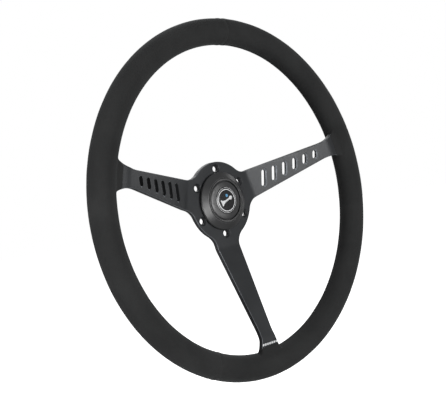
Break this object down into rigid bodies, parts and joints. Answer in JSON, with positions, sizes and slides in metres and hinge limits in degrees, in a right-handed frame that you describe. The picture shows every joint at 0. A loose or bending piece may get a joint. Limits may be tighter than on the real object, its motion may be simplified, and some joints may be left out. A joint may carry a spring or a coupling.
{
  "type": "steering wheel",
  "caption": "Dished sport steering wheel with a suede-covered round rim, a slotted spoke plate and a sprung centre horn button; bolts to a hub.",
  "frame": {"origin": "centre of the hub plate's back face, where the steering hub's axis meets the mounting face", "axes": "+Z to 12 o'clock, -Y towards the driver, +Y down the steering column, +X to the driver's right"},
  "size_m": [0.38, 0.0661, 0.38],
  "materials": {
    "anodised_plate": "matte black anodised",
    "suede": "black suede nap",
    "seam_thread": "waxed black thread",
    "grip_foam": "moulded polyurethane skin",
    "bare_aluminium": "mill finish",
    "satin_black": "satin black",
    "emblem": "printed and clear coated",
    "zinc_steel": "zinc plated",
    "brass": "bright"
  },
  "bodies": {
    "root": {"spoke_plate": "anodised_plate", "rim_armature_ring": "bare_aluminium", "spoke_rivet_1": "bare_aluminium", "spoke_rivet_2": "bare_aluminium", "spoke_rivet_3": "bare_aluminium", "spoke_rivet_4": "bare_aluminium", "spoke_rivet_5": "bare_aluminium", "spoke_rivet_6": "bare_aluminium", "rim_grip_foam": "grip_foam", "rim_cover_left": "suede", "rim_cover_right": "suede", "rim_seam_thread": "seam_thread", "horn_bezel": "satin_black", "horn_fixed_contact": "brass", "horn_base": "satin_black", "horn_base_screw_1": "zinc_steel", "horn_base_screw_2": "zinc_steel", "horn_base_screw_3": "zinc_steel", "horn_terminal_signal": "brass", "horn_terminal_ground": "brass", "horn_rivet_signal": "brass", "horn_rivet_ground": "brass", "horn_clip_1": "zinc_steel", "horn_clip_2": "zinc_steel", "horn_clip_3": "zinc_steel", "horn_clip_4": "zinc_steel", "horn_spring": "zinc_steel"},
    "horn_button": {"horn_cap": "satin_black", "horn_emblem": "emblem", "horn_moving_contact": "brass", "horn_contact_screw": "zinc_steel"}
  },
  "joints": [
    {"name": "horn_press", "type": "slide", "parent": "root", "child": "horn_button", "axis": [0, 1, 0], "range_m": [0, 0.002], "stiffness_N_per_m": 2500, "springref_m": -0.002, "deforming": ["horn_spring"]}
  ]
}
